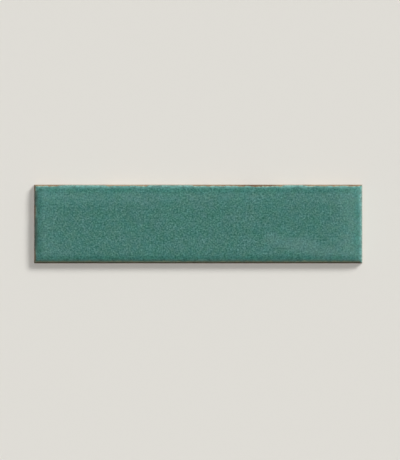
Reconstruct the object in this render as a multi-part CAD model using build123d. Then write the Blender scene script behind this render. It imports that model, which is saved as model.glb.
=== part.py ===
from math import floor, radians, sin, tan
import os

from build123d import *

# Glazed metro tile: one pressed and fired slab, lying on its back with the glazed face up.
# Millimetres. X runs along the tile, Y across it, Z up out of the glazed face.
# The origin is the middle of the back.

# Outline, measured at the foot of the walls where the tile is widest
tile_length = 250.0
tile_width = 60.0
tile_thickness = 9.0

# Side walls lean in towards the face, so the pressed tile leaves its mould
wall_draft = 4.0  # degrees

# Cushioned face: it curves down over the last stretch before the walls
cushion_run = 7.5
cushion_drop = 1.3

# Radius along the arris between face and walls; the four corners stay crisp
arris_radius = 2.0

# Bevel round the foot, where the pressing flash is fettled off
foot_chamfer = 0.4

# Keyed back: long shallow grooves inside a flat rim, for the adhesive to grip
key_rim = 5.5  # least width of the flat rim
key_groove_width = 5.0
key_rib_width = 3.6
key_groove_depth = 0.8
key_groove_draft = 30.0  # degrees
key_groove_corner = 1.5  # radius in plan at the ends of a groove

# The bevel takes the sharp foot off, so the slab is pressed this much over size at its foot
foot_excess = foot_chamfer * sin(radians(wall_draft))


def pressed_blank():
    """Slab with leaning walls and a flat top."""
    outline = Rectangle(tile_length + 2 * foot_excess, tile_width + 2 * foot_excess)
    return extrude(outline, amount=tile_thickness, taper=wall_draft)


def cushion_form():
    """Large rounded block whose top is the cushioned face, carried on past the walls."""
    radius = (cushion_run**2 + cushion_drop**2) / (2 * cushion_drop)
    wall_lean = (tile_thickness - cushion_drop) * tan(radians(wall_draft)) - foot_excess
    spread = 2 * (radius - cushion_run - wall_lean)
    block = Box(
        tile_length + spread,
        tile_width + spread,
        tile_thickness + 2 * radius,
        align=(Align.CENTER, Align.CENTER, Align.MAX),
    )
    block = Pos(Z=tile_thickness) * block
    rounded = block.faces().sort_by(Axis.Z)[-1].edges() + block.edges().filter_by(Axis.Z)
    return fillet(rounded, radius)


def soften_edges(tile):
    """Rounds the arris all the way round, and bevels the foot."""
    walls = tile.faces().filter_by(GeomType.PLANE).sort_by(Axis.Z)[1:-1]  # between back and face
    cushion_edges = tile.faces().filter_by(GeomType.PLANE, reverse=True).edges()
    arris = [edge for edge in walls.edges() if edge in cushion_edges]
    tile = fillet(arris, arris_radius)
    foot = tile.faces().sort_by(Axis.Z)[0].edges()
    return chamfer(foot, foot_chamfer)


def back_keys():
    """The grooves of the back, as the ribs of the punch that presses them."""
    pitch = key_groove_width + key_rib_width
    count = floor((tile_width - 2 * key_rim + key_rib_width) / pitch)
    groove_length = tile_length - 2 * key_rim
    groove = RectangleRounded(groove_length, key_groove_width, key_groove_corner)
    mouths = Sketch() + [place * groove for place in GridLocations(0, pitch, 1, count)]
    return extrude(mouths, amount=key_groove_depth, taper=key_groove_draft)


metro_tile = soften_edges(pressed_blank() & cushion_form()) - back_keys()

os.makedirs("parts", exist_ok=True)
export_step(metro_tile, "parts/metro_tile.step")
print("volume", round(metro_tile.volume, 1), "size", metro_tile.bounding_box().size)
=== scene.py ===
import math

import bmesh
import bpy
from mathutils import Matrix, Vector, noise


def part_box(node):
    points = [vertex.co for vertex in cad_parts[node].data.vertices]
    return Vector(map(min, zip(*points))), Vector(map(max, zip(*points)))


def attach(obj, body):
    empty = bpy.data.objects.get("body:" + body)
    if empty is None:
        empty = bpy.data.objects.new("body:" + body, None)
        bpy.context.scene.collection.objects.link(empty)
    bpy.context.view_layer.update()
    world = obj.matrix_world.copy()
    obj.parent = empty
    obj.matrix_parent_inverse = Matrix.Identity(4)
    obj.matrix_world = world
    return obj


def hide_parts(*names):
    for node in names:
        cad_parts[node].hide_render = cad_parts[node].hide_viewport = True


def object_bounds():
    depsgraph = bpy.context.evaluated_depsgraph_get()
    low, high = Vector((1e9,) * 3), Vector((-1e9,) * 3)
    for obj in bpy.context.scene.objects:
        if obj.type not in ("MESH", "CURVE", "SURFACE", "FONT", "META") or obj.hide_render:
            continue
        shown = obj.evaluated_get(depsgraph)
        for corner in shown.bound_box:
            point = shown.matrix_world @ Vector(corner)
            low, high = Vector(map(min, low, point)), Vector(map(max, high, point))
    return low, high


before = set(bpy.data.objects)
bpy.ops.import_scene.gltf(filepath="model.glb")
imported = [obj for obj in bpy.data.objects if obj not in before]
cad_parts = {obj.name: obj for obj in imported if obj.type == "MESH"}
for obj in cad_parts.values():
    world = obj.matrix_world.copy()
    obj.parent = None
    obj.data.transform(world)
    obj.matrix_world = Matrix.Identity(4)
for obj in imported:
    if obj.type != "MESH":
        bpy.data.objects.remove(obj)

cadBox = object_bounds()
mm = 0.001
print("frame loaded:", ", ".join(sorted(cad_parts)))


# small helpers

def smoothStep(low, high, value):
    share = min(1.0, max(0.0, (value - low) / (high - low)))
    return share * share * (3.0 - 2.0 * share)


def ripple(point, length, seed):
    # soft noise, about -1 to 1, with bumps of roughly this length
    shift = Vector((seed, 1.7 * seed, 0.3 * seed))  # each seed reads another part of the noise
    return 2.0 * noise.noise(Vector(point) / length + shift)


def addObject(name, data):
    thing = bpy.data.objects.new(name, data)
    bpy.context.scene.collection.objects.link(thing)
    return thing


def addNode(tree, kind, values=None, **settings):
    # a value that is a socket is linked, any other is set on the node's own socket
    node = tree.nodes.new("ShaderNode" + kind)
    for name, setting in settings.items():
        setattr(node, name, setting)
    for socket, value in (values or {}).items():
        if isinstance(value, bpy.types.NodeSocket):
            tree.links.new(value, node.inputs[socket])
        else:
            node.inputs[socket].default_value = value
    return node


# the fired tile, pressed to the solid's form

tile = {
    "node": "metro_tile",
    "wallDraft": math.radians(4.0),
    "cushionRun": 7.5 * mm,
    "cushionDrop": 1.3 * mm,
    "arrisRadius": 2.0 * mm,
    "cornerRadius": 0.25 * mm,     # softens the solid's crisp corners
    "footBevel": 0.4 * mm,
    "keyRim": 5.5 * mm,            # the keys are the grooves of the back
    "keyWidth": 5.0 * mm,
    "keyRib": 3.6 * mm,
    "keyDepth": 0.8 * mm,
    "keyDraft": math.radians(30.0),
    "keyCorner": 1.5 * mm,
    "lengthSpacing": 0.8 * mm,     # mesh lines along the tile
    "widthSpacing": 0.6 * mm,      # and across it
    "rimSpacing": 0.4 * mm,        # and beside the walls
    "wallRows": 10,
    "arrisRows": 5,
    "rimEase": 1.3,                # crowds the lines towards the arris
    "settleSteps": 12,             # tries that settle the arris's centre
    "touching": 0.001 * mm,        # nearer than this is the same place
    "clayFoot": 0.2,               # share of the wall where bare clay keeps the solid's outline
}

# what each point of the mesh knows of its glaze and clay, and of the painted light and shade on
# them, for the material
pointNotes = ["glazeReach", "arrisNear", "paleBreakAndHighlight", "paleDriftAndSheen", "paintedReflection"]
pointNotes += ["clayToneAndShade", "washAndPaintedShade", "smearAndShadeReach", "clayTan"]


def nearSides(size, x, y):
    # distances to the nearest short side and the nearest long side
    return size.x / 2.0 - abs(x), size.y / 2.0 - abs(y)


def cushionRadius():
    run, drop = tile["cushionRun"], tile["cushionDrop"]
    return (run * run + drop * drop) / (2.0 * drop)


def flatInset(size):
    # how far in from the outline the flat of the face starts
    lean = (size.z - tile["cushionDrop"] - tile["footBevel"]) * math.tan(tile["wallDraft"])
    return lean + tile["cushionRun"]


def wallProfile(size):
    # points (inset, height) from the foot up over the arris to the cushion
    draft, arris, foot = tile["wallDraft"], tile["arrisRadius"], tile["footBevel"]
    lean = math.tan(draft)
    radius = cushionRadius()
    flat = flatInset(size)
    base = size.z - radius
    height = size.z - tile["cushionDrop"]
    for _ in range(tile["settleSteps"]):  # the arris touches both the wall and the cushion
        inset = arris / math.cos(draft) + (height - foot) * lean
        height = base + math.sqrt((radius - arris) ** 2 - (flat - inset) ** 2)
    endAngle = math.atan2(height - base, flat - inset)
    top = (inset - arris * math.cos(draft), height + arris * math.sin(draft))
    points = [(foot, 0.0)]
    for row in range(tile["wallRows"]):
        share = row / tile["wallRows"]
        points.append((top[0] * share, foot + (top[1] - foot) * share))
    for row in range(tile["arrisRows"] + 1):
        angle = draft + (endAngle - draft) * row / tile["arrisRows"]
        points.append((inset - arris * math.cos(angle), height + arris * math.sin(angle)))
    return points


def wayDown(profile):
    # length along the profile from its top point down to each point
    lengths = [0.0]
    for upper, lower in zip(profile[:0:-1], profile[-2::-1]):
        lengths.append(lengths[-1] + math.dist(upper, lower))
    return lengths[::-1]


def keyCentres(size):
    pitch = tile["keyWidth"] + tile["keyRib"]
    count = math.floor((size.y - 2.0 * tile["keyRim"] + tile["keyRib"]) / pitch)
    return [(index - (count - 1) / 2.0) * pitch for index in range(count)]


def keySlope():
    # how far a groove's side leans in on its way down
    return tile["keyDepth"] * math.tan(tile["keyDraft"])


def keyDepthAt(size, x, y):
    halfX = size.x / 2.0 - tile["keyRim"] - tile["keyCorner"]
    halfY = tile["keyWidth"] / 2.0 - tile["keyCorner"]
    centre = min(keyCentres(size), key=lambda place: abs(place - y))
    pastX = abs(x) - halfX
    pastY = abs(y - centre) - halfY
    outside = math.hypot(max(0.0, pastX), max(0.0, pastY)) + min(0.0, max(pastX, pastY))
    inside = tile["keyCorner"] - outside
    return tile["keyDepth"] * min(1.0, max(0.0, inside / keySlope()))


def cushionFall(size, x, y):
    # how far the face has curved down at this place
    flat = flatInset(size)
    nearX, nearY = nearSides(size, x, y)
    past = math.hypot(max(0.0, flat - nearX), max(0.0, flat - nearY))
    radius = cushionRadius()
    return radius - math.sqrt(radius * radius - past * past)


def cutAcross(bm, axis, places):
    normal = Vector((0.0, 0.0, 0.0))
    normal[axis] = 1.0
    for place in places:
        geom = bm.verts[:] + bm.edges[:] + bm.faces[:]
        bmesh.ops.bisect_plane(
            bm, geom=geom, dist=tile["touching"], plane_co=normal * place, plane_no=normal)


def divideAlong(bm, axis, spacingAt):
    groups = {}
    for edge in bm.edges:
        start, end = (vert.co for vert in edge.verts)
        if abs(end[axis] - start[axis]) > tile["touching"]:
            middle = abs(start[axis] + end[axis]) / 2.0
            count = round((end - start).length / spacingAt(middle))
            groups.setdefault(count, []).append(edge)
    for count, edges in groups.items():
        if count > 1:
            bmesh.ops.subdivide_edges(bm, edges=edges, cuts=count - 1, use_grid_fill=True)


def blockGrid(size):
    # a block with mesh lines where the grooves and the cushion turn
    bm = bmesh.new()
    bmesh.ops.create_cube(bm, size=1.0)
    bmesh.ops.scale(bm, vec=size, verts=bm.verts)
    bmesh.ops.translate(bm, vec=(0.0, 0.0, size.z / 2.0), verts=bm.verts)
    mouth = size.x / 2.0 - tile["keyRim"]
    flat = flatInset(size)
    ends = [mouth, mouth - keySlope(), size.x / 2.0 - flat]
    cutAcross(bm, 0, [sign * end for end in ends for sign in (-1.0, 1.0)])
    sides = [size.y / 2.0 - flat, flat - size.y / 2.0]
    for centre in keyCentres(size):
        for half in (tile["keyWidth"] / 2.0, tile["keyWidth"] / 2.0 - keySlope()):
            sides += [centre - half, centre + half]
    cutAcross(bm, 1, sides)

    def lengthSpacing(place):
        return tile["lengthSpacing"] if place < min(ends) else tile["rimSpacing"]

    def widthSpacing(place):
        inner = size.y / 2.0 - tile["keyRim"]
        return tile["widthSpacing"] if place < inner else tile["rimSpacing"]

    def heightSpacing(place):
        return size.z / (1 + tile["wallRows"] + tile["arrisRows"])

    divideAlong(bm, 0, lengthSpacing)
    divideAlong(bm, 1, widthSpacing)
    divideAlong(bm, 2, heightSpacing)
    return bm


def pressIn(distance, inset):
    # true inset of a mesh line that stands at this distance inside the block's side
    rim = tile["keyRim"]
    if distance >= rim:
        return distance
    return inset + (rim - inset) * (distance / rim) ** tile["rimEase"]


def roundCorner(along, across, radius):
    # insets from a side and its neighbour, pulled in where the corner is rounded
    if radius <= 0.0 or across >= radius:
        return along, across
    turn = (1.0 - across / radius) * math.pi / 4.0
    return along + radius * (1.0 - math.cos(turn)), radius * (1.0 - math.sin(turn))


# where the glaze stops on each side, measured down over the arris
# a run is where it spilled further, or held back: centre along the side, half width, length
# tone is the clay's usual tone, set lower on the lower and left sides as painted shade; break is how
# far the glaze pales on the wall, partly its thinning to the clay's colour and partly a painted
# highlight on the lit upper and right walls
# wash is a thin dark smear on the clay, partly glaze and partly painted shade on the lower and left
# sides, as far down as smear says, with a tan line above it
# a spot is where the clay is paler or darker, or lacks its wash: centre, half width, change

glazeEdge = {
    "upper": {
        "stop": 1.00 * mm,
        "wander": 0.30 * mm,
        "runs": [
            (-88.5 * mm, 20.5 * mm, 3.5 * mm),
            (-56.0 * mm, 17.0 * mm, 0.4 * mm),
            (-29.0 * mm, 11.5 * mm, 2.6 * mm),
            (-12.0 * mm, 9.0 * mm, 3.2 * mm),
            (44.0 * mm, 20.0 * mm, -0.32 * mm),
            (72.5 * mm, 10.0 * mm, 3.0 * mm),
        ],
        "spots": [
            (-114.0 * mm, 12.0 * mm, 0.05),
            (-56.0 * mm, 17.0 * mm, 0.45),
            (44.0 * mm, 20.0 * mm, -0.40),
            (92.0 * mm, 11.0 * mm, 0.35),
        ],
        "tone": 0.5,
        "wallBreakAndHighlight": 0.5,
        "washAndShade": 0.0,
        "smearAndShade": 0.0,
        "tan": 0.0,
        "seed": 23.9,
    },
    "lower": {
        "stop": 0.25 * mm,
        "wander": 0.18 * mm,
        "runs": [],
        "spots": [],
        "tone": 0.2,
        "wallBreakAndHighlight": 0.0,
        "washAndShade": 1.0,
        "smearAndShade": 3.0 * mm,
        "tan": 0.85,
        "seed": 37.7,
    },
    "left": {
        "stop": 1.65 * mm,
        "wander": 0.30 * mm,
        "runs": [
            (28.0 * mm, 4.0 * mm, -1.0 * mm),
            (19.5 * mm, 6.0 * mm, 1.0 * mm),
            (9.5 * mm, 7.0 * mm, -1.1 * mm),
            (-9.5 * mm, 11.0 * mm, 1.2 * mm),
            (-25.5 * mm, 8.0 * mm, -0.8 * mm),
        ],
        "spots": [
            (29.0 * mm, 5.0 * mm, 0.80),
            (9.5 * mm, 7.0 * mm, 0.55),
            (-25.5 * mm, 8.0 * mm, 0.50),
        ],
        "tone": 0.2,
        "wallBreakAndHighlight": 0.0,
        "washAndShade": 1.0,
        "smearAndShade": 3.2 * mm,
        "tan": 0.1,
        "seed": 11.3,
    },
    "right": {
        "stop": 7.0 * mm,
        "wander": 0.8 * mm,
        "runs": [],
        "spots": [],
        "tone": 0.5,
        "wallBreakAndHighlight": 0.4,
        "washAndShade": 0.0,
        "smearAndShade": 0.0,
        "tan": 0.0,
        "seed": 3.1,
    },
    # the noises along a side: length, strength, and what is added to the side's seed
    "stopNoise": (5.0 * mm, 1.0, 0.0),
    "fineStopNoise": (1.5 * mm, 0.4, 5.0),
    "runNoise": (3.5 * mm, 0.18, 9.0),
    "toneNoise": (9.0 * mm, 0.12, 2.0),
    "smearAndShadeNoise": (4.0 * mm, 0.3, 4.0),
    "tanNoise": (30.0 * mm, 0.25, 7.0),
    "runFlank": 0.5,               # share of its half width over which a run comes in
    "spotFlank": 0.6,
    "cornerBlend": 2.5 * mm,
    "depth": 14.0 * mm,            # further in than this the sides no longer matter
    "innerTone": 0.5,              # tone of the clay on the back
    # the rest is in millimetres down from the top of the arris, or a share
    "footBlend": (7.5, 10.5),      # the side's tone passes to the back's
    "thinning": (-2.2, 0.8),       # the glaze thins towards the arris, where its colour also carries painted highlight and painted shade
    "thickening": (2.0, 4.5),      # and gathers again below it
    "thickened": 0.5,              # by this share
    "wallBreakAndHighlightRange": (0.6, 1.4),       # the glaze pales on the wall, partly as the clay's colour comes through, partly as a painted highlight
    "edgeBreakAndHighlightReach": 0.9,              # and this near to where the glaze stops
}


def sideNoise(side, place, name):
    length, strength, seedStep = glazeEdge[name]
    return strength * ripple((place, 0.0, 0.0), length, glazeEdge[side]["seed"] + seedStep)


def withinStretch(place, centre, half, flank):
    # 1 in the middle of a stretch of the side, 0 from its ends on
    return smoothStep(0.0, flank, 1.0 - abs(place - centre) / half)


def glazeStop(side, place):
    settings = glazeEdge[side]
    wander = sideNoise(side, place, "stopNoise") + sideNoise(side, place, "fineStopNoise")
    stop = settings["stop"] + settings["wander"] * wander
    ragged = 1.0 + sideNoise(side, place, "runNoise")
    for centre, half, down in settings["runs"]:
        stop += down * ragged * withinStretch(place, centre, half, glazeEdge["runFlank"])
    return max(0.0, stop)


def spotAt(side, place):
    change = 0.0
    for centre, half, amount in glazeEdge[side]["spots"]:
        change += amount * withinStretch(place, centre, half, glazeEdge["spotFlank"])
    return change


# the clay's tone is set lower on the lower and left sides as painted shade, with spots and noise of
# its own
def clayToneAndShade(side, place):
    settings = glazeEdge[side]
    spot = (1.0 - settings["washAndShade"]) * spotAt(side, place)
    return settings["tone"] + spot + sideNoise(side, place, "toneNoise")


# the wash marks the lower and left sides for their painted shade and smear
def washAndPaintedShade(side, place):
    return glazeEdge[side]["washAndShade"] * max(0.0, 1.0 - spotAt(side, place))


def smearAndShadeStop(side, place):
    # how far below the glaze the smear and its painted shade end: they draw back where a spot of
    # clay shows
    ragged = 1.0 + sideNoise(side, place, "smearAndShadeNoise")
    return glazeEdge[side]["smearAndShade"] * ragged * max(0.0, 1.0 - spotAt(side, place))


def clayTan(side, place):
    settings = glazeEdge[side]
    line = settings["tan"] * (1.0 + sideNoise(side, place, "tanNoise"))
    return min(1.0, line + settings["washAndShade"] * spotAt(side, place))


# how far the wall pales: a painted highlight in part, on the lit upper and right walls
def wallBreakAndHighlightOf(side, place):
    return glazeEdge[side]["wallBreakAndHighlight"]


def acrossSides(size, x, y, measure):
    # a measure taken along the sides, blended from each side to the next at the corners
    nearX, nearY = nearSides(size, x, y)
    blend = glazeEdge["cornerBlend"]
    end = smoothStep(-blend, blend, nearY - nearX)
    amount = 0.0
    if end > 0.0:
        amount += end * measure("right" if x > 0.0 else "left", y)
    if end < 1.0:
        amount += (1.0 - end) * measure("upper" if y > 0.0 else "lower", x)
    return amount


def sideNotes(size, x, y, down):
    # how the glaze and the clay are at a place this far down from the top of the arris
    depth = glazeEdge["depth"]
    if min(nearSides(size, x, y)) > depth:
        reach = depth if down < 0.0 else -depth
        return {"glazeReach": reach / mm, "clayToneAndShade": glazeEdge["innerTone"]}
    stop = acrossSides(size, x, y, glazeStop)
    reach = min(depth, max(-depth, stop - down)) / mm
    thinner = smoothStep(*glazeEdge["thinning"], down / mm)
    thicker = glazeEdge["thickened"] * smoothStep(*glazeEdge["thickening"], down / mm)
    onWall = acrossSides(size, x, y, wallBreakAndHighlightOf) * smoothStep(*glazeEdge["wallBreakAndHighlightRange"], down / mm)
    atEdge = 1.0 - smoothStep(0.0, glazeEdge["edgeBreakAndHighlightReach"], reach)
    sideToneAndShade = acrossSides(size, x, y, clayToneAndShade)
    onBack = smoothStep(*glazeEdge["footBlend"], down / mm)
    return {
        "glazeReach": reach,
        "arrisNear": thinner * (1.0 - thicker),
        "paleBreakAndHighlight": max(atEdge, onWall),
        "clayToneAndShade": sideToneAndShade + (glazeEdge["innerTone"] - sideToneAndShade) * onBack,
        "washAndPaintedShade": acrossSides(size, x, y, washAndPaintedShade),
        "smearAndShadeReach": reach + acrossSides(size, x, y, smearAndShadeStop) / mm,
        "clayTan": acrossSides(size, x, y, clayTan),
    }


# how the glaze's colour drifts over the face, as parts of its tone, partly its own and partly
# painted light and sheen; and where a painted reflection lies

drift = {
    "rightEnd": 0.17,
    "leftEnd": 0.035,
    "endLength": 30.0 * mm,
    "upperBand": 0.095,
    "upperPlace": 9.5 * mm,
    "upperWidth": 5.0 * mm,
    "upperFade": 0.6,              # the band is weaker towards the right end
    "reflectionCentre": (80.5 * mm, -16.8 * mm),
    "reflectionHalf": (38.0 * mm, 7.5 * mm),
    "reflectionTurn": math.radians(-12.5),
    "reflectionFlank": 0.7,             # share of its half size over which the painted reflection comes in
    "bloomNoise": (12.0 * mm, 0.25, 51.0),  # length, strength, seed
    "reflectionEnds": 0.4,
}


def paleDriftAndSheen(size, x, y):
    # paler towards the ends and along a band below the upper edge, partly the glaze's own tone and
    # partly painted light and sheen
    length = drift["endLength"]
    tone = drift["rightEnd"] * smoothStep(size.x / 2.0 - length, size.x / 2.0, x)
    tone += drift["leftEnd"] * smoothStep(size.x / 2.0 - length, size.x / 2.0, -x)
    away = (size.y / 2.0 - y - drift["upperPlace"]) / drift["upperWidth"]
    band = drift["upperBand"] * (1.0 - drift["upperFade"] * x / size.x)
    return tone + band * math.exp(-away * away)


def paintedReflection(size, x, y):
    # a painted reflection: the pale patch low on the right, lying askew, and a fainter one at each
    # end
    awayX = x - drift["reflectionCentre"][0]
    awayY = y - drift["reflectionCentre"][1]
    cosine, sine = math.cos(drift["reflectionTurn"]), math.sin(drift["reflectionTurn"])
    along = (awayX * cosine + awayY * sine) / drift["reflectionHalf"][0]
    across = (awayY * cosine - awayX * sine) / drift["reflectionHalf"][1]
    length, strength, seed = drift["bloomNoise"]
    ragged = strength * ripple((x, y, 0.0), length, seed)
    patch = smoothStep(0.0, drift["reflectionFlank"], 1.0 - math.hypot(along, across) + ragged)
    ends = smoothStep(size.x / 2.0 - drift["endLength"], size.x / 2.0, abs(x))
    return max(patch, drift["reflectionEnds"] * (1.0 + ragged) * ends)


def shapeTile(bm, size):
    # presses the block to the tile's form and notes how the glaze and the clay are there
    profile = wallProfile(size)
    lengths = wayDown(profile)
    lastRow = len(profile) - 1
    arrisRow = lastRow - tile["arrisRows"]
    arrisInset = profile[arrisRow][0]
    endInset = profile[lastRow][0]
    edgeFall = cushionFall(size, 0.0, size.y / 2.0 - endInset)
    layers = {name: bm.verts.layers.float.new(name) for name in pointNotes + ["wallHold"]}
    for vert in bm.verts:
        boxX, boxY, boxZ = vert.co
        row = round(boxZ / size.z * lastRow)
        nearX, nearY = nearSides(size, boxX, boxY)
        atWall = min(nearX, nearY) < tile["touching"]
        rowInset, rowHeight = profile[row]
        insetX = pressIn(nearX, rowInset)
        insetY = pressIn(nearY, rowInset)
        if atWall:
            radius = tile["cornerRadius"] - max(0.0, rowInset - arrisInset)
            if nearX < tile["touching"]:
                insetX, across = roundCorner(insetX, insetY - rowInset, radius)
                insetY = rowInset + across
            else:
                insetY, across = roundCorner(insetY, insetX - rowInset, radius)
                insetX = rowInset + across
        x = math.copysign(size.x / 2.0 - insetX, boxX)
        y = math.copysign(size.y / 2.0 - insetY, boxY)
        fallX = size.x / 2.0 - max(insetX, endInset)
        fallY = size.y / 2.0 - max(insetY, endInset)
        fall = cushionFall(size, fallX, fallY)
        hold = 1.0  # the glaze's surface is at the solid's outline, 0 puts the bare clay's there
        if atWall:
            down = lengths[row]
            z = rowHeight - max(0.0, fall - edgeFall) * min(1.0, row / arrisRow)
            hold = smoothStep(tile["clayFoot"], 1.0, row / arrisRow)
        elif row == 0:
            down = lengths[0] + min(insetX, insetY)
            z = keyDepthAt(size, x, y)
            hold = 0.0
        else:
            down = endInset - min(insetX, insetY)
            z = size.z - fall
        vert.co = (x, y, z)
        notes = sideNotes(size, boxX, boxY, down)
        notes["paleDriftAndSheen"] = paleDriftAndSheen(size, x, y)
        notes["paintedReflection"] = paintedReflection(size, x, y)
        notes["wallHold"] = hold
        for name, value in notes.items():
            vert[layers[name]] = value
    return layers


relief = {
    "glazeThickness": 0.18 * mm,
    "glazeSlope": 0.35,            # millimetres either side of its edge, where it rises
    "glazeBead": 0.03 * mm,
    "beadPlace": 0.5,              # millimetres in from that edge
    "beadWidth": 0.4,
    # the noises: length, depth, seed
    "wave": (38.0 * mm, 0.05 * mm, 2.2),
    "peel": (6.0 * mm, 0.008 * mm, 4.4),
    "grain": (2.6 * mm, 0.006 * mm, 6.6),
    "clay": (1.6 * mm, 0.03 * mm, 8.8),
    "fineClay": (0.8 * mm, 0.0075 * mm, 9.9),
    "cornerReach": 1.5 * mm,       # the relief fades out this near a corner
}


def bumps(place, name):
    length, depth, seed = relief[name]
    return depth * ripple(place, length, seed)


def dips(place, name):
    # like bumps, but only down into the tile
    length, depth, seed = relief[name]
    return depth * (ripple(place, length, seed) - 1.0) / 2.0


def awayFromCorner(size, place):
    # none of the relief at a corner, where it would fold the small rounding
    nearX, nearY = nearSides(size, place.x, place.y)
    away = max(abs(nearX - nearY), min(nearX, nearY) - relief["cornerReach"])
    return smoothStep(0.0, relief["cornerReach"], away)


def addRelief(bm, size, layers):
    # glaze thickness, its slow waves and orange peel, and the grain of the bare clay
    bm.normal_update()
    moves = []
    for vert in bm.verts:
        place = vert.co
        reach = vert[layers["glazeReach"]]
        cover = smoothStep(-relief["glazeSlope"], relief["glazeSlope"], reach)
        move = relief["glazeThickness"] * (cover - vert[layers["wallHold"]])
        fromBead = (reach - relief["beadPlace"]) / relief["beadWidth"]
        move += relief["glazeBead"] * math.exp(-fromBead * fromBead)
        move += cover * (dips(place, "wave") + bumps(place, "peel") + bumps(place, "grain"))
        move += (1.0 - cover) * (dips(place, "clay") + bumps(place, "fineClay"))
        moves.append(move * awayFromCorner(size, place))
    for vert, move in zip(bm.verts, moves):
        vert.co += vert.normal * move
        vert.co.x = min(size.x / 2.0, max(-size.x / 2.0, vert.co.x))
        vert.co.y = min(size.y / 2.0, max(-size.y / 2.0, vert.co.y))
        vert.co.z = min(size.z, max(0.0, vert.co.z))


def makeTile():
    low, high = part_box(tile["node"])
    size = high - low
    bm = blockGrid(size)
    print("block divided:", len(bm.verts), "points")
    layers = shapeTile(bm, size)
    addRelief(bm, size, layers)
    bmesh.ops.recalc_face_normals(bm, faces=bm.faces)
    for face in bm.faces:
        face.smooth = True
    mesh = bpy.data.meshes.new("glazed_metro_tile")
    bm.to_mesh(mesh)
    bm.free()
    piece = addObject("glazed_metro_tile", mesh)
    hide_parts(tile["node"])
    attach(piece, "root")
    print("tile shaped:", sum(len(face.vertices) - 2 for face in mesh.polygons), "triangles")
    return piece


# the finish: satin green glaze, and bare clay where it stops, with painted highlights, painted shade
# and a painted reflection in their colours

finish = {
    "glazeDeep": (0.0073, 0.094, 0.0674, 1.0),
    "glazePale": (0.0883, 0.273, 0.2334, 1.0),
    # painted highlight in part: the thin and breaking glaze are paler than the glaze would be, for
    # the lit upper and right sides
    "thinGlazeAndHighlight": (0.106, 0.271, 0.248, 1.0),
    "paleBreakAndHighlight": (0.300, 0.375, 0.285, 1.0),
    # painted shade: a darker copy of the thin glaze, for the lower and left sides
    "thinGlazeInPaintedShade": (0.076, 0.121, 0.097, 1.0),
    # painted reflection: the pale tint added over the glaze where it would mirror the light
    "paintedReflectionTint": (0.024, 0.026, 0.031, 1.0),
    "lessRed": (0.860, 1.000, 0.985, 1.0),
    "moreRed": (1.140, 1.000, 1.015, 1.0),
    "lessBlue": (1.000, 1.000, 0.950, 1.0),
    "moreBlue": (1.000, 1.000, 1.050, 1.0),
    "clayDark": (0.134, 0.074, 0.037, 1.0),
    "clayBody": (0.262, 0.180, 0.101, 1.0),
    "clayPale": (0.392, 0.311, 0.207, 1.0),
    # painted shade in part: the dark green smear on the lower and left walls
    "smearInPaintedShade": (0.058, 0.078, 0.050, 1.0),
    "washTan": (0.214, 0.272, 0.178, 1.0),
    "noises": {                    # scale, detail, roughness
        "fine": (780.0, 2.0, 0.5),
        "grain": (400.0, 0.0, 0.5),
        "mottle": (120.0, 0.0, 0.5),
        "fleck": (1050.0, 0.0, 0.5),
        "red": (85.0, 2.0, 0.7),
        "blue": (190.0, 1.0, 0.5),
        "clayGrain": (1400.0, 2.0, 0.6),
        "clayCloud": (130.0, 4.0, 0.65),
    },
    "fineShare": 1.60,             # the shares of the noises in the glaze's tone
    "toneShift": -0.576,
    "grainShare": 0.12,
    "mottleShare": 0.11,
    "fleckShare": 0.34,
    "thinGrainShare": 0.8,
    "cloudShare": 1.5,             # and in the clay's
    "cloudShift": -0.75,
    "smearAndShadeCloudShare": 2.0,        # and in where the smear and its painted shade end
    "smearAndShadeGrainShare": 1.6,
    "spreads": {                   # a range, and the range that it becomes
        "fleck": (0.60, 0.76, 0.0, 1.0),
        "cast": (0.3, 0.7, 0.0, 1.0),
        "thinPatches": (0.3, 0.7, 0.75, 1.0),
        "thinGrain": (0.30, 1.20, 0.64, 1.37),
        "clayGrain": (0.25, 0.75, -0.35, 0.35),
        "darkToBody": (0.0, 0.5, 0.0, 1.0),
        "bodyToPale": (0.5, 1.0, 0.0, 1.0),
        "smearAndShadeEdge": (0.9, 2.7, 0.0, 1.0),
        "smearAndShadeGrain": (0.25, 0.75, 0.6, 1.4),
        "tanLine": (-1.1, -0.7, 0.0, 1.0),
        "edgeClayGrain": (0.3, 0.7, -0.15, 0.15),
        "edgeGlazeGrain": (0.25, 0.75, -0.3, 0.3),
        "cover": (-0.12, 0.18, 0.0, 1.0),
        "glazeRough": (0.0, 0.7, 0.50, 0.33),
    },
    "arrisRough": -0.18,           # the glaze is smoother over the arris
    "clayRough": 0.9,
    "clayBump": 0.05 * mm,
    "glazeBump": 0.02 * mm,
    "bumpStrength": 1.0,
    "glazeIor": 1.5,
}


def mixColours(tree, share, first, second, blend="MIX"):
    values = {0: share, 6: first, 7: second}  # a Mix node has its colours at 6 and 7
    return addNode(tree, "Mix", values, data_type="RGBA", blend_type=blend).outputs[2]


def blendNumbers(tree, operation, first, second, third=None):
    values = {0: first, 1: second}
    if third is not None:
        values[2] = third
    return addNode(tree, "Math", values, operation=operation).outputs[0]


def noiseOf(tree, coords, name):
    scale, detail, roughness = finish["noises"][name]
    values = {"Vector": coords, "Scale": scale, "Detail": detail, "Roughness": roughness}
    return addNode(tree, "TexNoise", values).outputs["Fac"]


def noteOf(tree, name):
    return addNode(tree, "Attribute", attribute_name=name).outputs["Fac"]


def spreadOf(tree, value, name):
    low, high, newLow, newHigh = finish["spreads"][name]
    values = {"Value": value, "From Min": low, "From Max": high, "To Min": newLow, "To Max": newHigh}
    return addNode(tree, "MapRange", values, interpolation_type="SMOOTHSTEP").outputs["Result"]


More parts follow.
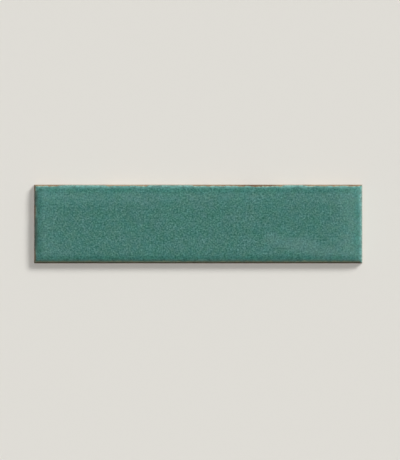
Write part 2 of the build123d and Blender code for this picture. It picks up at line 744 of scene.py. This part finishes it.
def glazeSpeckle(tree, noises):
    # fine speckle with a little of the coarser noises, and pale flecks
    fine, shift = finish["fineShare"], finish["toneShift"]
    speckle = blendNumbers(tree, "MULTIPLY_ADD", noises["fine"], fine, shift)
    speckle = blendNumbers(tree, "MULTIPLY_ADD", noises["grain"], finish["grainShare"], speckle)
    speckle = blendNumbers(tree, "MULTIPLY_ADD", noises["mottle"], finish["mottleShare"], speckle)
    fleck = spreadOf(tree, noises["fleck"], "fleck")
    return blendNumbers(tree, "MULTIPLY_ADD", fleck, finish["fleckShare"], speckle)


def fullGlaze(tree, noises, notes, tone):
    # the glaze on the face, with its red and blue casts, and a painted reflection added over it
    colour = mixColours(tree, tone, finish["glazeDeep"], finish["glazePale"])
    for name, less, more in (("red", "lessRed", "moreRed"), ("blue", "lessBlue", "moreBlue")):
        share = spreadOf(tree, noises[name], "cast")
        cast = mixColours(tree, share, finish[less], finish[more])
        colour = mixColours(tree, 1.0, colour, cast, "MULTIPLY")
    return mixColours(tree, notes["paintedReflection"], colour, finish["paintedReflectionTint"], "ADD")


def thinGlazeWithPaintedLight(tree, noises, notes, speckle):
    # the glaze over the arris, where the clay comes through: paler on the lit upper and right sides
    # as a painted highlight, darker on the lower and left sides as painted shade
    colour = mixColours(tree, notes["paleBreakAndHighlight"], finish["thinGlazeAndHighlight"], finish["paleBreakAndHighlight"])
    colour = mixColours(tree, notes["washAndPaintedShade"], colour, finish["thinGlazeInPaintedShade"])
    grain = blendNumbers(tree, "MULTIPLY_ADD", noises["grain"], finish["thinGrainShare"], speckle)
    return mixColours(tree, 1.0, colour, spreadOf(tree, grain, "thinGrain"), "MULTIPLY")


def bareClay(tree, noises, notes):
    cloud, grain = noises["clayCloud"], noises["clayGrain"]
    shade = blendNumbers(tree, "MULTIPLY_ADD", cloud, finish["cloudShare"], finish["cloudShift"])
    shade = blendNumbers(tree, "ADD", shade, spreadOf(tree, grain, "clayGrain"))
    shade = blendNumbers(tree, "ADD", shade, notes["clayToneAndShade"])
    body = spreadOf(tree, shade, "darkToBody")
    colour = mixColours(tree, body, finish["clayDark"], finish["clayBody"])
    return mixColours(tree, spreadOf(tree, shade, "bodyToPale"), colour, finish["clayPale"])


def washAndShadeOver(tree, noises, notes, colour):
    # the dark smear on the clay, partly painted shade on the lower and left sides, and the tan line
    # between it and the glaze
    cloud, grain = noises["clayCloud"], noises["clayGrain"]
    edge = blendNumbers(tree, "MULTIPLY_ADD", cloud, finish["smearAndShadeCloudShare"], notes["smearAndShadeReach"])
    edge = blendNumbers(tree, "MULTIPLY_ADD", grain, finish["smearAndShadeGrainShare"], edge)
    smearAndShade = blendNumbers(tree, "MULTIPLY", notes["washAndPaintedShade"], spreadOf(tree, edge, "smearAndShadeEdge"))
    smearAndShadeGrain = spreadOf(tree, grain, "smearAndShadeGrain")
    smearAndShadeColour = mixColours(tree, 1.0, finish["smearInPaintedShade"], smearAndShadeGrain, "MULTIPLY")
    colour = mixColours(tree, smearAndShade, colour, smearAndShadeColour)
    tanLine = spreadOf(tree, notes["glazeReach"], "tanLine")
    tan = blendNumbers(tree, "MULTIPLY", notes["clayTan"], tanLine)
    return mixColours(tree, tan, colour, finish["washTan"])


def glazeCover(tree, noises, notes):
    # 1 on the glaze and 0 on the clay, with a ragged line between them
    clayRagged = spreadOf(tree, noises["clayGrain"], "edgeClayGrain")
    glazeRagged = spreadOf(tree, noises["grain"], "edgeGlazeGrain")
    reach = blendNumbers(tree, "ADD", clayRagged, notes["glazeReach"])
    reach = blendNumbers(tree, "ADD", glazeRagged, reach)
    return spreadOf(tree, reach, "cover")


def bumpOf(tree, height, distance):
    values = {"Height": height, "Strength": finish["bumpStrength"], "Distance": distance}
    return addNode(tree, "Bump", values).outputs["Normal"]


def glazeOnClay():
    material = bpy.data.materials.new("satin_green_glaze_on_clay")
    material.use_nodes = True
    tree = material.node_tree
    tree.nodes.clear()
    coords = addNode(tree, "TexCoord").outputs["Object"]
    noises = {name: noiseOf(tree, coords, name) for name in finish["noises"]}
    notes = {name: noteOf(tree, name) for name in pointNotes}
    arris = notes["arrisNear"]

    speckle = glazeSpeckle(tree, noises)
    tone = blendNumbers(tree, "ADD", speckle, notes["paleDriftAndSheen"])
    thin = blendNumbers(tree, "MULTIPLY", arris, spreadOf(tree, noises["mottle"], "thinPatches"))
    fullColour = fullGlaze(tree, noises, notes, tone)
    glazeColour = mixColours(tree, thin, fullColour, thinGlazeWithPaintedLight(tree, noises, notes, speckle))
    clayColour = washAndShadeOver(tree, noises, notes, bareClay(tree, noises, notes))
    cover = glazeCover(tree, noises, notes)
    colour = mixColours(tree, cover, clayColour, glazeColour)

    glazeRough = spreadOf(tree, tone, "glazeRough")
    glazeRough = blendNumbers(tree, "MULTIPLY_ADD", arris, finish["arrisRough"], glazeRough)
    values = {0: cover, 2: finish["clayRough"], 3: glazeRough}  # a Mix node's numbers are at 2 and 3
    rough = addNode(tree, "Mix", values, data_type="FLOAT").outputs[0]
    clayNormal = bumpOf(tree, noises["clayGrain"], finish["clayBump"])
    glazeNormal = bumpOf(tree, noises["fine"], finish["glazeBump"])
    values = {0: cover, 4: clayNormal, 5: glazeNormal}  # and its vectors at 4 and 5
    normal = addNode(tree, "Mix", values, data_type="VECTOR").outputs[1]
    shader = addNode(tree, "BsdfPrincipled", {
        "Base Color": colour,
        "Roughness": rough,
        "Normal": normal,
        "IOR": finish["glazeIor"],
    })
    addNode(tree, "OutputMaterial", {"Surface": shader.outputs["BSDF"]})
    return material


fired = makeTile()
fired.data.materials.append(glazeOnClay())
print("glaze and clay coloured")


# pale floor

floorLook = {
    "size": 6.0,
    "colour": (0.737, 0.719, 0.672, 1.0),
    "roughness": 0.9,
    "gloss": 0.0,
}


def makeFloor():
    bm = bmesh.new()
    bmesh.ops.create_grid(bm, x_segments=1, y_segments=1, size=floorLook["size"])
    mesh = bpy.data.meshes.new("floor")
    bm.to_mesh(mesh)
    bm.free()
    material = bpy.data.materials.new("pale_floor")
    material.use_nodes = True
    shader = material.node_tree.nodes["Principled BSDF"]
    shader.inputs["Base Color"].default_value = floorLook["colour"]
    shader.inputs["Roughness"].default_value = floorLook["roughness"]
    shader.inputs["Specular IOR Level"].default_value = floorLook["gloss"]
    mesh.materials.append(material)
    addObject("floor", mesh)


makeFloor()
print("floor laid")


# soft light from the upper right, and an even surround

light = {
    # azimuth and tilt in degrees, spread, share of the light that falls on the floor,
    # whether it casts a shadow, whether the glaze mirrors it
    "lamps": {
        "keyLight": (45.0, 50.0, 0.38, 0.48, True, False),
        "overhead": (0.0, 0.0, 0.30, 0.07, False, True),
        "upperFill": (90.0, 62.0, 0.75, 0.100, False, False),
        "upperGlint": (90.0, 48.0, 0.50, 0.060, False, True),
        "rightFill": (0.0, 62.0, 0.75, 0.090, False, False),
        "rightGlint": (0.0, 48.0, 0.50, 0.056, False, True),
    },
    "surroundColour": (1.0, 1.0, 1.0, 1.0),
    "surroundShare": 0.144,
}


def addSun(name, azimuth, tilt, spread, share, shadow, mirrored):
    azimuth, tilt = math.radians(azimuth), math.radians(tilt)
    lamp = bpy.data.lights.new(name, "SUN")
    lamp.energy = share * math.pi / math.cos(tilt)
    lamp.angle = spread
    lamp.use_shadow = shadow
    lamp.cycles.use_multiple_importance_sampling = shadow
    sun = addObject(name, lamp)
    sun.visible_glossy = mirrored
    towards = Vector((
        math.sin(tilt) * math.cos(azimuth),
        math.sin(tilt) * math.sin(azimuth),
        math.cos(tilt),
    ))
    sun.rotation_euler = towards.to_track_quat("Z", "Y").to_euler()


def makeSurround():
    world = bpy.data.worlds.new("studio")
    bpy.context.scene.world = world
    world.use_nodes = True
    tree = world.node_tree
    tree.nodes.clear()
    values = {"Color": light["surroundColour"], "Strength": light["surroundShare"]}
    glow = addNode(tree, "Background", values)
    addNode(tree, "OutputWorld", {"Surface": glow.outputs["Background"]})


for lampName, lampSettings in light["lamps"].items():
    addSun(lampName, *lampSettings)
makeSurround()
bpy.context.scene.view_settings.view_transform = "Standard"
print("lights set")


# camera straight above, framed as in the photo

shot = {
    "width": 400.0,                # of the picture, in pixels
    "height": 460.0,
    "tileLeft": 34.15,             # the tile's outline in it
    "tileRight": 362.35,
    "tileTop": 184.75,
    "tileBottom": 263.31,
    "lens": 400.0,                 # long, so the walls show alike on all four sides
    "sensor": 36.0,
}


def makeCamera():
    low, high = cadBox
    perPixel = (high.x - low.x) / (shot["tileRight"] - shot["tileLeft"])
    distance = shot["height"] * perPixel * shot["lens"] / shot["sensor"]
    camera = bpy.data.cameras.new("camera")
    camera.lens = shot["lens"]
    camera.sensor_width = shot["sensor"]
    eye = addObject("camera", camera)
    eye.location = (
        (shot["width"] - shot["tileLeft"] - shot["tileRight"]) / 2.0 * perPixel,
        (shot["tileTop"] + shot["tileBottom"] - shot["height"]) / 2.0 * perPixel,
        tile["footBevel"] + distance,  # the tile is widest at the top of its foot bevel
    )
    bpy.context.scene.camera = eye


makeCamera()
print("camera placed")
